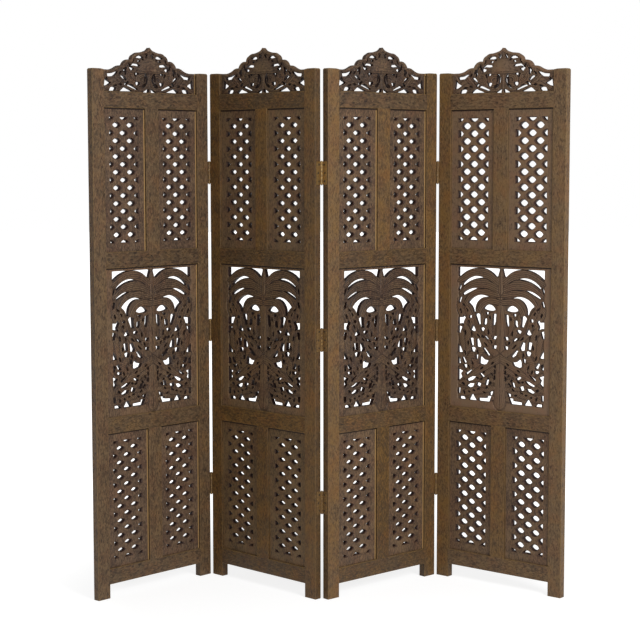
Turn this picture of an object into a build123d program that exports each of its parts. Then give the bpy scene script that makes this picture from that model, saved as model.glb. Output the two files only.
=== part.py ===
from build123d import *
from math import atan2, cos, hypot, pi, radians, sin
import os

# Carved jali folding screen: four framed panels joined by butt hinges, in millimetres.
# A panel's own frame has X along its width from the left end, Y from the front face
# to the back face, and Z up from the floor.

# Frame members
stile_height = 1752.0
panel_width = 508.0
frame_thickness = 25.4
stile_width = 50.0
rail_height = 53.0
mullion_width = 57.0
foot_height = 47.0           # floor to the underside of the bottom rail
lower_bay_height = 454.0
palm_bay_height = 495.0
crest_depth = 70.0           # visible height of the crest board below its shoulders
stile_corner = 4.0           # bevel on the outer top corner of a stile
shoulder_drop = 2.0          # crest shoulder below the stile's top
shoulder_run = 14.0          # width of the stile's fall to that shoulder

# Joinery
board_thickness = 17.5
board_setback = 7.0          # front face of the frame to the front face of a board
tongue_thickness = 12.0      # a board's edges are cut down at the back to a tongue
rebate_play = 0.5            # between the thick of a board and the members around it
groove_depth = 8.0
board_play = 0.15            # between a tongue and each groove cheek
board_end_gap = 0.5          # seasonal room between a tongue's edge and the groove's floor
tenon_length = 30.0
tenon_play = 0.15

# Lattice boards: rows of two diamonds that alternate with rows of one
lattice_rows = 8
lattice_columns = 2
lattice_side_border = 27.5
lattice_end_border = 30.0
lattice_hole_share = 0.58    # diamond's half diagonal over half the pitch

# Palm board: the drawing below is stretched to this pierced field
palm_side_border = 34.0
palm_top_border = 15.0
palm_bottom_border = 26.0

# Crest
crest_rise = 77.0            # peak above the stiles' tops

# A fretsaw turns a curve as short straight cuts: so many to each arc of a drawing
palm_chords = 2
crest_chords = 3

# Hinges
hinge_heights = (325.0, 867.0, 1414.0)
hinge_length = 76.0
hinge_leaf_thickness = 1.5
hinge_leaf_depth = 21.0      # how far a leaf reaches across the panel's edge
hinge_leaf_gap = 0.4         # between two leaves when a joint is flat
knuckle_radius = 3.2
knuckle_clearance = 0.3      # between a knuckle and the other leaf or the panel's face
knuckle_end_gap = 0.3
pin_radius = 1.6
pin_running_clearance = 0.05
pin_head_height = 2.0        # how far a pin stands out of its end knuckles
knuckle_sides = 6            # knuckles and pins are drawn as bars with so many flats

# How the screen stands: each panel's heading in plan, in degrees
panel_headings = (47.0, -44.2, 42.2, -39.9)
# Side of the panels that each joint's knuckles stand on, from left to right
joint_sides = ("front", "back", "front")

# Heights worked out from the members above
bottom_rail_base = foot_height
lower_bay_base = bottom_rail_base + rail_height
lower_mid_rail_base = lower_bay_base + lower_bay_height
palm_bay_base = lower_mid_rail_base + rail_height
upper_mid_rail_base = palm_bay_base + palm_bay_height
upper_bay_base = upper_mid_rail_base + rail_height
shoulder_height = stile_height - shoulder_drop
crest_base = shoulder_height - crest_depth
top_rail_base = crest_base - rail_height
upper_bay_height = top_rail_base - upper_bay_base

opening_width = panel_width - 2 * stile_width
bay_width = (opening_width - mullion_width) / 2
groove_front = board_setback - board_play
tongue_back = board_setback + tongue_thickness
groove_back = tongue_back + board_play
board_back = board_setback + board_thickness
tongue = groove_depth - board_end_gap
hinge_side = hinge_leaf_thickness + hinge_leaf_gap / 2
knuckle_proud = knuckle_radius + knuckle_clearance


def block(x0, x1, y0, y1, z0, z1):
    """Box between two corners."""
    corner = (Align.MIN, Align.MIN, Align.MIN)
    return Pos(x0, y0, z0) * Box(x1 - x0, y1 - y0, z1 - z0, align=corner)


def arc_points(start, via, end, chords):
    """Points along the arc from start through via to end, after start."""
    (ax, ay), (bx, by), (cx, cy) = start, via, end
    twice_area = 2 * (ax * (by - cy) + bx * (cy - ay) + cx * (ay - by))
    a2, b2, c2 = ax * ax + ay * ay, bx * bx + by * by, cx * cx + cy * cy
    x = (a2 * (by - cy) + b2 * (cy - ay) + c2 * (ay - by)) / twice_area
    y = (a2 * (cx - bx) + b2 * (ax - cx) + c2 * (bx - ax)) / twice_area
    radius = hypot(ax - x, ay - y)
    first = atan2(ay - y, ax - x)
    turn = atan2(cy - y, cx - x) - first
    # Turn the way that passes through via: the corner at via leans left or right.
    anticlockwise = twice_area > 0
    if anticlockwise and turn < 0:
        turn += 2 * pi
    if not anticlockwise and turn > 0:
        turn -= 2 * pi
    steps = [first + turn * (i + 1) / chords for i in range(chords)]
    return [(x + radius * cos(angle), y + radius * sin(angle)) for angle in steps[:-1]] + [end]


def closed_wire(path, chords):
    """Closed wire through corners; a pair of points is an arc through the first to the second."""
    points = [path[0]]
    for step in path[1:]:
        if isinstance(step[0], tuple):
            points += arc_points(points[-1], step[0], step[1], chords)
        else:
            points.append(step)
    if points[-1] == points[0]:
        points.pop()
    return Wire.make_polygon([Vector(*point) for point in points], close=True)


def mapped(path, change):
    """A path with every point changed by a function."""
    return [tuple(change(p) for p in s) if isinstance(s[0], tuple) else change(s) for s in path]


def mirrored(path):
    return mapped(path, lambda p: (-p[0], p[1]))


def plate(outline, holes, front, back, chords=1):
    """Flat board in the XZ plane with pierced holes, between two depths."""
    face = Face(closed_wire(outline, chords), [closed_wire(h, chords) for h in holes])
    return extrude(Plane.XZ.offset(-back) * face, back - front).solid()


def rebated(board, left, right, low, high):
    """Board cut down at the back to a tongue wherever it reaches out of its opening."""
    behind = board_back + 1
    outside = block(left - groove_depth, right + groove_depth, tongue_back, behind,
                    low - groove_depth, high + groove_depth)
    inside = block(left + rebate_play, right - rebate_play, tongue_back, behind,
                   low + rebate_play, high - rebate_play)
    return (board - (outside - inside)).solid()


def rectangle(x0, x1, z0, z1):
    return [(x0, z0), (x1, z0), (x1, z1), (x0, z1)]


# ---------------------------------------------------------------- frame members

def left_stile():
    """Upright with a groove for the boards and four blind mortises; its end is the foot."""
    profile = [
        (0, 0),
        (stile_width, 0),
        (stile_width, shoulder_height),
        (stile_width - shoulder_run, stile_height),
        (stile_corner, stile_height),
        (0, stile_height - stile_corner),
    ]
    stile = plate(profile, [], 0, frame_thickness)
    groove = block(stile_width - groove_depth, stile_width + 1, groove_front, groove_back,
                   bottom_rail_base + groove_depth, shoulder_height)
    stile = stile - groove
    for base in (bottom_rail_base, lower_mid_rail_base, upper_mid_rail_base, top_rail_base):
        stile = stile - block(stile_width - tenon_length - tenon_play, stile_width,
                              groove_front, groove_back,
                              base + groove_depth - tenon_play,
                              base + rail_height - groove_depth + tenon_play)
    return stile.solid()


def rail(base, groove_below, groove_above):
    """Cross member with a tenon at each end, as thick as the boards' tongues."""
    left, right = stile_width, panel_width - stile_width
    member = block(left, right, 0, frame_thickness, base, base + rail_height)
    member = member + block(left - tenon_length, right + tenon_length,
                            board_setback, tongue_back,
                            base + groove_depth, base + rail_height - groove_depth)
    if groove_below:
        member = member - block(left - 1, right + 1, groove_front, groove_back,
                                base - 1, base + groove_depth)
    if groove_above:
        member = member - block(left - 1, right + 1, groove_front, groove_back,
                                base + rail_height - groove_depth, base + rail_height + 1)
    return member.solid()


def mullion(base, height):
    """Middle upright of a bay, with stub tenons in the rails' grooves and grooves for boards."""
    left = stile_width + bay_width
    right = left + mullion_width
    member = block(left, right, 0, frame_thickness, base, base + height)
    member = member + block(left, right, board_setback, tongue_back,
                            base - tongue, base + height + tongue)
    for x0, x1 in ((left - 1, left + groove_depth), (right - groove_depth, right + 1)):
        member = member - block(x0, x1, groove_front, groove_back,
                                base - tongue - 1, base + height + tongue + 1)
    return member.solid()


# ---------------------------------------------------------------- pierced boards

def lattice_holes(left, base, height):
    """Whole diamonds on a staggered grid."""
    x0 = left + lattice_side_border
    x1 = left + bay_width - lattice_side_border
    z0 = base + lattice_end_border
    pitch_x = (x1 - x0) / lattice_columns
    pitch_z = (height - 2 * lattice_end_border) / lattice_rows
    a = lattice_hole_share * pitch_x / 2
    b = lattice_hole_share * pitch_z / 2
    holes = []
    for row in range(lattice_rows):
        z = z0 + (row + 0.5) * pitch_z
        for column in range(lattice_columns):
            x = x0 + (column + 0.5) * pitch_x
            holes.append([(x - a, z), (x, z - b), (x + a, z), (x, z + b)])
    for row in range(1, lattice_rows):
        z = z0 + row * pitch_z
        for column in range(1, lattice_columns):
            x = x0 + column * pitch_x
            holes.append([(x - a, z), (x, z - b), (x + a, z), (x, z + b)])
    return holes


def lattice_board(left, base, height):
    outline = rectangle(left - tongue, left + bay_width + tongue,
                        base - tongue, base + height + tongue)
    board = plate(outline, lattice_holes(left, base, height), board_setback, board_back)
    return rebated(board, left, left + bay_width, base, base + height)


def lattice_pair(base, height):
    """The two boards either side of a mullion."""
    right_bay = stile_width + bay_width + mullion_width
    return Compound([lattice_board(stile_width, base, height),
                     lattice_board(right_bay, base, height)])


# Right half of the palm drawing, from the middle of a field 340 wide and 454 tall.
palm_field = (340.0, 454.0)
palm_drawing = [
    # sky above the fronds
    [(98, 227), (170, 227), (170, 196), (164, 191), ((138, 214), (98, 227))],
    [(7, 220), (12, 226), (72, 227), ((38, 219), (14, 199))],
    # slits between the fronds
    [(76, 190), ((120, 188), (156, 165)), ((116, 180), (76, 190))],
    [(104, 153), ((134, 147), (157, 127)), ((129, 140), (104, 153))],
    [(48, 125), ((94, 129), (131, 104)), ((112, 92), (104, 72)), ((88, 101), (48, 125))],
    [(104, 71), (97, 50), (80, 32), (88, 54)],
    # gaps beside the trunk and between the hanging leaves
    [(20, 72), (29, 62), (27, 32), (22, 33)],
    [(170, 62), (150, 54), (141, 61), (148, 41), (140, 28), (170, 26)],
    [(52, -80), (70, -76), (86, -85), (76, -103), (58, -101)],
    [(170, -110), (158, -136), (170, -172)],
    # undergrowth along the bottom
    [(132, -227), (112, -209), (97, -227)],
    [(34, -191), (52, -216), (85, -220), (85, -227), (38, -227)],
]


def palm_board():
    """Board pierced with a palm tree, mirrored about the trunk."""
    centre = panel_width / 2
    low = palm_bay_base + palm_bottom_border
    high = palm_bay_base + palm_bay_height - palm_top_border
    stretch_x = (opening_width - 2 * palm_side_border) / palm_field[0]
    stretch_z = (high - low) / palm_field[1]

    def to_board(point):
        return (centre + point[0] * stretch_x, (low + high) / 2 + point[1] * stretch_z)

    holes = palm_drawing + [mirrored(hole) for hole in palm_drawing]
    outline = rectangle(stile_width - tongue, panel_width - stile_width + tongue,
                        palm_bay_base - tongue, palm_bay_base + palm_bay_height + tongue)
    board = plate(outline, [mapped(hole, to_board) for hole in holes],
                  board_setback, board_back, palm_chords)
    return rebated(board, stile_width, panel_width - stile_width,
                   palm_bay_base, palm_bay_base + palm_bay_height)


# Right half of the crest drawing: X from the middle of an opening 408 wide, Z from the
# shoulder, where the peak is 79 high and the top rail is 70 below.
crest_field = (408.0, 79.0, 70.0)
crest_outline = [
    (204, 0),
    (178, 0),
    ((163, 3), (150, 9)),
    ((137, 15), (122, 16)),
    ((112, 30), (84, 37)),
    ((72, 55), (46, 63)),
    ((21, 66), (0, 79)),
]
crest_drawing = [
    [(134, -1), (181, -11), (180, -19), (142, -15)],
    [(176, -41), (196, -19), (197, -58), (184, -48)],
    [(152, -56), (172, -58), (178, -67), (150, -67)],
    [(88, -67), (128, -67), (112, -53)],
    [(95, -44), (80, -46), (58, -60), (72, -58)],
    [(62, 25), (76, 17), (76, 6), (69, 12)],
    [(26, 50), (44, 49), (54, 38), (40, 41)],
    [(44, -36), (54, -30), (57, -44), (48, -46)],
    [(6, -62), (14, -62), (28, -68), (6, -68)],
]


def crest_board():
    """Scalloped crest pierced with a palmette and scrolling leaves, seated on the top rail."""
    centre = panel_width / 2
    stretch_x = opening_width / crest_field[0]
    stretch_up = (crest_rise + shoulder_drop) / crest_field[1]
    stretch_down = crest_depth / crest_field[2]

    def to_board(point):
        stretch = stretch_up if point[1] > 0 else stretch_down
        return (centre + point[0] * stretch_x, shoulder_height + point[1] * stretch)

    right = mapped(crest_outline, to_board)
    left = mapped(mirrored(crest_outline), to_board)
    # Walk the left half backwards: each arc then ends where the one before it started.
    ends = [step[1] if isinstance(step[0], tuple) else step for step in left]
    back = []
    for index in range(len(left) - 1, 0, -1):
        step = left[index]
        back.append((step[0], ends[index - 1]) if isinstance(step[0], tuple) else ends[index - 1])
    x0 = stile_width - tongue
    x1 = panel_width - stile_width + tongue
    foot = crest_base - tongue
    outline = [(x0, foot), (x1, foot), (x1, shoulder_height)] + right + back
    outline = outline + [(x0, shoulder_height)]
    holes = crest_drawing + [mirrored(hole) for hole in crest_drawing]
    board = plate(outline, [mapped(hole, to_board) for hole in holes],
                  board_setback, board_back, crest_chords)
    # The opening has no upper member: it ends above the peak.
    return rebated(board, stile_width, panel_width - stile_width,
                   crest_base, stile_height + crest_rise + groove_depth)


# ---------------------------------------------------------------- hinges

def knuckle_spans(height):
    """Heights of the three knuckles: the outer two on one leaf, the middle one on the other."""
    third = hinge_length / 3
    base = height - hinge_length / 2
    gap = knuckle_end_gap / 2
    return [(base + i * third + (gap if i else 0), base + (i + 1) * third - (gap if i < 2 else 0))
            for i in range(3)]


def bar(radius, low, high):
    """Upright many-sided bar about the hinge axis, measured to its corners."""
    return extrude(Pos(0, 0, low) * RegularPolygon(radius, knuckle_sides), high - low)


def hinge_leaf(height, own, other, away, inward):
    """Leaf about a vertical axis at X 0, Y 0.

    away is +1 where the panel lies towards -X, inward is +1 where it lies towards +Y.
    """
    inner, outer = sorted((-away * hinge_side, -away * (hinge_side - hinge_leaf_thickness)))
    near, far = sorted((0, inward * (knuckle_proud + hinge_leaf_depth)))
    half = hinge_length / 2
    leaf = block(inner, outer, near, far, height - half, height + half)
    room = knuckle_radius + knuckle_clearance
    for low, high in other:
        leaf = leaf - block(-room, room, -room, room, low - knuckle_end_gap, high + knuckle_end_gap)
    for low, high in own:
        leaf = leaf + bar(knuckle_radius, low, high)
    # The bore's flats clear the pin's corners, so the pin turns freely in it.
    bore_radius = (pin_radius + pin_running_clearance) / cos(pi / knuckle_sides)
    return (leaf - bar(bore_radius, height - half - 1, height + half + 1)).solid()


def hinge_pin(height):
    half = hinge_length / 2 + pin_head_height
    return bar(pin_radius, height - half, height + half).solid()


# ---------------------------------------------------------------- where the panels stand

def plan_point(panel, x, y):
    """Plan position of a point given in a panel's own frame."""
    (ox, oy), heading = panel
    angle = radians(heading)
    return (ox + x * cos(angle) - y * sin(angle), oy + x * sin(angle) + y * cos(angle))


def axis_depth(side):
    return -knuckle_proud if side == "front" else frame_thickness + knuckle_proud


def stand_panels():
    """Origins and headings of the panels, chained through their hinge axes and centred."""
    panels = [((0.0, 0.0), panel_headings[0])]
    for side, heading in zip(joint_sides, panel_headings[1:]):
        axis = plan_point(panels[-1], panel_width + hinge_side, axis_depth(side))
        offset = plan_point(((0.0, 0.0), heading), -hinge_side, axis_depth(side))
        panels.append(((axis[0] - offset[0], axis[1] - offset[1]), heading))
    corners = [plan_point(p, x, y) for p in panels
               for x in (0, panel_width) for y in (0, frame_thickness)]
    middle = [(min(c[i] for c in corners) + max(c[i] for c in corners)) / 2 for i in (0, 1)]
    return [((o[0] - middle[0], o[1] - middle[1]), heading) for o, heading in panels]


panels = stand_panels()
joint_axes = [plan_point(panel, panel_width + hinge_side, axis_depth(side))
              for panel, side in zip(panels, joint_sides)]


def build_panel_parts():
    """Every node of one panel, in the panel's own frame."""
    stile = left_stile()
    return {
        "left_stile": stile,
        "right_stile": mirror(stile, about=Plane.YZ.offset(panel_width / 2)),
        "bottom_rail": rail(bottom_rail_base, False, True),
        "lower_mid_rail": rail(lower_mid_rail_base, True, True),
        "upper_mid_rail": rail(upper_mid_rail_base, True, True),
        "top_rail": rail(top_rail_base, True, True),
        "lower_mullion": mullion(lower_bay_base, lower_bay_height),
        "upper_mullion": mullion(upper_bay_base, upper_bay_height),
        "lower_lattices": lattice_pair(lower_bay_base, lower_bay_height),
        "upper_lattices": lattice_pair(upper_bay_base, upper_bay_height),
        "palm_board": palm_board(),
        "crest": crest_board(),
    }


def build_hinges(side):
    """Left leaves, right leaves and pins of one joint, about its axis."""
    inward = 1 if side == "front" else -1
    left, right, pins = [], [], []
    for height in hinge_heights:
        bottom, middle, top = knuckle_spans(height)
        left.append(hinge_leaf(height, [bottom, top], [middle], 1, inward))
        right.append(hinge_leaf(height, [middle], [bottom, top], -1, inward))
        pins.append(hinge_pin(height))
    return left, right, pins


def main():
    os.makedirs("parts", exist_ok=True)
    parts = build_panel_parts()
    for number, (origin, heading) in enumerate(panels, 1):
        stand = Location((origin[0], origin[1], 0), (0, 0, heading))
        for name, solid in parts.items():
            export_step(stand * solid, f"parts/panel_{number}_{name}.step")
    for index, side in enumerate(joint_sides):
        x, y = joint_axes[index]
        left, right, pins = build_hinges(side)
        name = f"hinges_{index + 1}_{index + 2}"
        before = Location((x, y, 0), (0, 0, panel_headings[index]))
        after = Location((x, y, 0), (0, 0, panel_headings[index + 1]))
        export_step(before * Compound(left), f"parts/{name}_left_leaves.step")
        export_step(after * Compound(right), f"parts/{name}_right_leaves.step")
        export_step(before * Compound(pins), f"parts/{name}_pins.step")


main()
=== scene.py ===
from math import atan2, ceil, cos, hypot, pi, radians, sin
import random

import bmesh
import bpy
import numpy as np
from mathutils import Matrix, Vector, noise
from mathutils.geometry import delaunay_2d_cdt


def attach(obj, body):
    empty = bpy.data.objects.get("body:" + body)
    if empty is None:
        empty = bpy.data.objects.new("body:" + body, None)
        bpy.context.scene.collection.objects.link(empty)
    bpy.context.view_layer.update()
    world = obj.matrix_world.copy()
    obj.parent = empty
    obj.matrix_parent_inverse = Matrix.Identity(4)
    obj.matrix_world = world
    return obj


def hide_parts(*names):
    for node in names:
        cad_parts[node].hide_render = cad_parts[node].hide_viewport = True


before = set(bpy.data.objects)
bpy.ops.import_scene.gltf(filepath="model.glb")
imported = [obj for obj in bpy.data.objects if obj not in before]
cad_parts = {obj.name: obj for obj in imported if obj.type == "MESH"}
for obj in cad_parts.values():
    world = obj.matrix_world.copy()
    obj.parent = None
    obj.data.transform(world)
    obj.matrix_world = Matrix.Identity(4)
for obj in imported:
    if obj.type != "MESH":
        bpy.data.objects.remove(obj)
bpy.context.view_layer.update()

# A carved folding screen in four panels. Lengths are in millimetres in a panel's own frame, with
# x along its width, y from its front to its back and z up, until a piece is stood in its place.
MM = 0.001

# ---------------------------------------------------------------- sizes shared with the solids

panel_stands = {
    1: (-765.494, -194.959, 47.0),
    2: (-411.661, 176.749, -44.2),
    3: (-5.431, -178.144, 42.2),
    4: (378.057, 163.233, -39.9),
}
panel_width = 508.0
frame_thickness = 25.4
stile_width = 50.0
stile_height = 1752.0
rail_height = 53.0
mullion_width = 57.0
shoulder_height = 1750.0
shoulder_run = 14.0
stile_corner = 4.0
rail_bases = {"bottom_rail": 47.0, "lower_mid_rail": 554.0, "upper_mid_rail": 1102.0, "top_rail": 1627.0}
lower_bay = (100.0, 554.0)
palm_bay = (607.0, 1102.0)
upper_bay = (1155.0, 1627.0)
crest_depth = 70.0           # what shows of the crest below its shoulders
board_front = 7.0
board_back = 23.9
board_tuck = 6.0             # how far a board runs on into its groove
thinned_back = 20.5          # the back of a carved field, hollowed so that its leaves look light
field_backs = {"palm_board": 23.4, "crest": 21.6}   # the same on the panels that are thinned less
thinnest_panel = 4
opening_width = panel_width - 2 * stile_width
bay_width = (opening_width - mullion_width) / 2
mid = panel_width / 2

lattice_side_border = 27.5
lattice_end_border = 30.0
lattice_rows = 8
# The share of the pitch that a hole takes across and up. One panel's are cut wider.
lattice_cuts = {"lower": (0.455, 0.26), "upper": (0.49, 0.315)}
wide_lattice_cuts = {"lower": (0.51, 0.41), "upper": (0.56, 0.445)}
wide_lattice_panel = 4
lattice_splay = 2.4          # how much a hole widens on each side towards the front
splay_depth = 1.8            # how deep that splay goes, as a share of its width

tenon = 1.0                  # how far a rail or mullion is let into the timber that it meets
# The edge of each rail that a mullion meets: 0 its lower one, 1 its upper one
mullion_edges = {"bottom_rail": 1, "lower_mid_rail": 0, "upper_mid_rail": 1, "top_rail": 0}

arris_width = 1.2            # chamfer on an arris that nothing joins
waver_depth = 0.18           # how far a planed face lies back, and how far it wavers about that
waver_rate = 0.011           # waves per millimetre
waver_pitch = 45.0           # the most between two points of a face that waver

# How light or dark a face is made: 1 is unstained wood, 0 the common stain, and below 0 a thick dark glaze
# with painted shade; rail tops get a painted highlight
arris_wear = 0.5
rail_top_highlight = 0.25         # painted highlight on the rails' tops, where light from above falls
wall_glaze_and_shade = -0.4            # painted shade on the walls of the bays and between panels, with stain that brushes leave there

hinge_heights = (325.0, 867.0, 1414.0)
hinge_length = 76.0
hinge_leaf_thickness = 1.5
hinge_leaf_depth = 21.0
hinge_side = 1.7
knuckle_radius = 3.2
knuckle_proud = 3.5
pin_radius = 1.6
knuckle_gap = 0.15           # at each end of a knuckle
corner_round = 2.0           # corners of a hinge leaf
web_depth = 0.6              # how far short of the axis a leaf's tongues to its knuckles end
pin_head_radius = 2.4
pin_end = 0.4                # how far a pin stands out of its knuckles
pin_head = (0.2, 2.0)        # the foot and top of its heads beyond them
screw_lifts = (-27.0, 0.0, 27.0)
screw_sink = 0.12            # how far a screw's head is set back
# Where each joint's axis is, and which way its leaves reach: 1 to the back, -1 to the front
joint_spots = ((-415.319, 175.425, 1), (-26.103, -157.877, -1), (374.508, 161.639, 1))
bright_joint = 2             # its top hinge was never stained over
bright_above = 1.2           # metres

# ---------------------------------------------------------------- camera and light

camera_spot = (-0.0274, -5.5269, 1.4391)
camera_turn = (90 - 5.384, 0.049, -0.043)     # tilt, heading and roll in degrees
camera_lens = 92.346


def aimed(obj, spot, target):
    """Put a lamp at a spot, looking at its target."""
    obj.location = spot
    obj.rotation_euler = (Vector(target) - Vector(spot)).to_track_quat("-Z", "Y").to_euler()


def add_camera():
    """Camera at eye height in front of the screen."""
    data = bpy.data.cameras.new("camera")
    data.sensor_width = 36.0
    data.lens = camera_lens
    data.clip_start = 0.1
    data.clip_end = 100.0
    camera = bpy.data.objects.new("camera", data)
    tilt, heading, roll = (radians(a) for a in camera_turn)
    turn = Matrix.Rotation(heading, 4, "Z") @ Matrix.Rotation(tilt, 4, "X") @ Matrix.Rotation(roll, 4, "Z")
    camera.matrix_world = Matrix.Translation(camera_spot) @ turn
    bpy.context.scene.collection.objects.link(camera)
    bpy.context.scene.camera = camera


def add_softbox(name, spot, target, width, height, power):
    """Wide studio lamp; sizes in metres, power in watts."""
    data = bpy.data.lights.new(name, "AREA")
    data.shape = "RECTANGLE"
    data.size, data.size_y = width, height
    data.energy = power
    lamp = bpy.data.objects.new(name, data)
    aimed(lamp, spot, target)
    bpy.context.scene.collection.objects.link(lamp)


# ---------------------------------------------------------------- materials

def linear(code):
    """Linear colour with alpha from an sRGB hex code."""
    values = [int(code[i:i + 2], 16) / 255 for i in (1, 3, 5)]
    return tuple(v / 12.92 if v <= 0.04045 else ((v + 0.055) / 1.055) ** 2.4 for v in values) + (1.0,)


def add(tree, kind, values=None, stops=None, **settings):
    """Add a node. values are its inputs, as numbers or as sockets to link; stops are a ramp's."""
    made = tree.nodes.new(kind)
    for key, value in settings.items():
        setattr(made, key, value)
    for key, value in (values or {}).items():
        if isinstance(value, bpy.types.NodeSocket):
            tree.links.new(value, made.inputs[key])
        else:
            made.inputs[key].default_value = value
    if stops:
        elements = made.color_ramp.elements
        while len(elements) < len(stops):
            elements.new(0.5)
        for element, (place, colour) in zip(elements, stops):
            element.position = place
            element.color = colour
    return made


def new_material(name):
    """An empty material: itself, its node tree and its output."""
    material = bpy.data.materials.new(name)
    material.use_nodes = True
    tree = material.node_tree
    tree.nodes.clear()
    out = add(tree, "ShaderNodeOutputMaterial")
    return material, tree, out


def grey(level):
    """Neutral linear colour."""
    return (level, level, level, 1.0)


def stained_wood(name, dark, middle, light, golden, bare_and_highlight, sawn, shade, chip, chip_share, chip_depth):
    """Hardwood under a brown water stain, in the grain's own coordinates (grain_place, in metres).

    It reads as a dull brown that breaks up into lighter and darker flecks, with unstained golden wood
    on the arrises, painted highlight on the rails' tops and down the boards' right sides, a red-brown
    where a saw has cut, near black on the boards as painted shade, and dark dust with painted shade in
    the hollows and on the walls. chip is a gouge chip's length in metres, chip_share how strongly it
    shows, chip_depth its depth in millimetres.
    """
    material, tree, out = new_material(name)
    place, cast, bay = (add(tree, "ShaderNodeAttribute", attribute_name=layer).outputs["Vector"]
                        for layer in ("grain_place", "stain_and_light_cast", "bay_place"))
    arris, cut, hollow = (add(tree, "ShaderNodeAttribute", attribute_name=layer).outputs["Fac"]
                          for layer in ("arris", "sawn", "hollow"))
    cast = add(tree, "ShaderNodeSeparateXYZ", {0: cast}).outputs
    bay = add(tree, "ShaderNodeSeparateXYZ", {0: bay}).outputs

    # Grain lines that run 60 mm or more, 2.6 mm apart: coarser than real pores, so that they show
    grain_gap, grain_stretch = 0.0026, 0.045
    along = add(tree, "ShaderNodeMapping", {"Vector": place, "Scale": (1.0, 1.0, grain_stretch)})
    grain = add(tree, "ShaderNodeTexNoise", {"Vector": along.outputs[0], "Scale": 1 / grain_gap,
                                             "Detail": 4.0, "Roughness": 0.65, "Distortion": 0.6})
    # Stain that took unevenly, in clouds 60 mm across
    cloud_size = 0.06
    cloud = add(tree, "ShaderNodeTexNoise", {"Vector": place, "Scale": 1 / cloud_size, "Detail": 3.0,
                                             "Roughness": 0.55})
    # Gouge chips twice as long as wide, that lean 35 degrees from the grain
    lean = add(tree, "ShaderNodeMapping", {"Vector": place, "Scale": (1.0, 1.0, 0.5),
                                           "Rotation": (radians(-8), radians(35), radians(12))})
    chips = add(tree, "ShaderNodeTexVoronoi", {"Vector": lean.outputs[0], "Scale": 1 / chip,
                                               "Randomness": 1.0})
    # Flecks about a chip's size where the stain has rubbed through, along the gouge's strokes
    fleck = add(tree, "ShaderNodeTexNoise", {"Vector": lean.outputs[0], "Scale": 1 / chip, "Detail": 4.0,
                                             "Roughness": 0.75})

    # Flecks count for more than half of the tone, then the clouds and the grain
    tone = add(tree, "ShaderNodeMath", {0: fleck.outputs["Fac"], 1: 1.9}, operation="MULTIPLY")
    for pattern, weight in ((cloud, 0.65), (grain, 0.45)):
        tone = add(tree, "ShaderNodeMath", {0: pattern.outputs["Fac"], 1: weight, 2: tone.outputs[0]},
                   operation="MULTIPLY_ADD")
    tone = add(tree, "ShaderNodeMath", {0: tone.outputs[0], 1: 1 / 3}, operation="MULTIPLY")
    # How light the stain came out on this piece
    cast_step = 0.04
    tone = add(tree, "ShaderNodeMath", {0: cast[0], 1: cast_step, 2: tone.outputs[0]},
               operation="MULTIPLY_ADD")

    # The stain's colour and, where it is thin, the wood's gold, each from its darkest to its lightest
    tones = (0.42, 0.5, 0.59)
    stains = (linear(dark), linear(middle), linear(light))
    golds = [[c * share for c in linear(golden)[:3]] + [1.0] for share in (0.45, 1.0, 1.55)]
    stain, gold = (add(tree, "ShaderNodeValToRGB", {"Fac": tone.outputs[0]}, stops=list(zip(tones, colours)))
                   for colours in (stains, golds))

    # Each chip's own cut takes a little more or less stain
    chip_tone = add(tree, "ShaderNodeMath", {0: chips.outputs["Color"], 1: chip_share}, operation="MULTIPLY")
    # Where the glaze is thin, in clouds and over whole pieces
    thin = add(tree, "ShaderNodeMapRange", {"Value": cloud.outputs["Fac"], "From Min": 0.4, "From Max": 0.64,
                                            "To Min": 0.0, "To Max": 0.4})
    thin = add(tree, "ShaderNodeMath", {0: thin.outputs[0], 1: cast[1]}, operation="ADD", use_clamp=True)
    # Red of the wood under the stain, in clouds of its own
    red = add(tree, "ShaderNodeSeparateXYZ", {0: cloud.outputs["Color"]}).outputs
    red = add(tree, "ShaderNodeMapRange", {"Value": red[1], "From Min": 0.46, "From Max": 0.64, "To Min": 0.0,
                                           "To Max": 0.45})
    # Unstained wood on the arrises, in flecks, and painted highlight on the rails' tops
    wear_glaze_and_painted_light = add(tree, "ShaderNodeMath", {0: fleck.outputs["Fac"], 1: 0.9}, operation="ADD")
    wear_glaze_and_painted_light = add(tree, "ShaderNodeMath", {0: arris, 1: wear_glaze_and_painted_light.outputs[0]}, operation="MULTIPLY", use_clamp=True)
    layers = [
        (chip_tone.outputs[0], linear(light), "MIX"),
        (thin.outputs[0], gold.outputs[0], "MIX"),
        (red.outputs[0], (1.10, 0.85, 0.78, 1.0), "MULTIPLY"),
        (wear_glaze_and_painted_light.outputs[0], linear(bare_and_highlight), "MIX"),
        (cut, linear(sawn), "MIX"),
    ]
    # Ragged strips on a board, in metres: a lighter strip of unstained wood and painted highlight down its
    # bay's right side, a fine one down its left, and a painted shadow of the rail under its top. A piece with
    # no bay_place reads 0 there and has none.
    for edge, width, share, tint in ((bay[1], 0.0042, 0.85, bare_and_highlight), (bay[0], 0.0018, 0.3, bare_and_highlight),
                                     (bay[2], 0.0052, 0.95, shade)):
        ragged = add(tree, "ShaderNodeMath", {0: fleck.outputs["Fac"], 1: 0.004, 2: edge},
                     operation="MULTIPLY_ADD")
        near = add(tree, "ShaderNodeMapRange", {"Value": ragged.outputs[0], "From Min": width + 0.0012,
                                                "From Max": width + 0.0028, "To Min": share, "To Max": 0.0})
        inside = add(tree, "ShaderNodeMath", {0: edge, 1: 0.00001}, operation="GREATER_THAN")
        near = add(tree, "ShaderNodeMath", {0: near.outputs[0], 1: inside.outputs[0]}, operation="MULTIPLY")
        layers.append((near.outputs[0], linear(tint), "MIX"))
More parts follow.
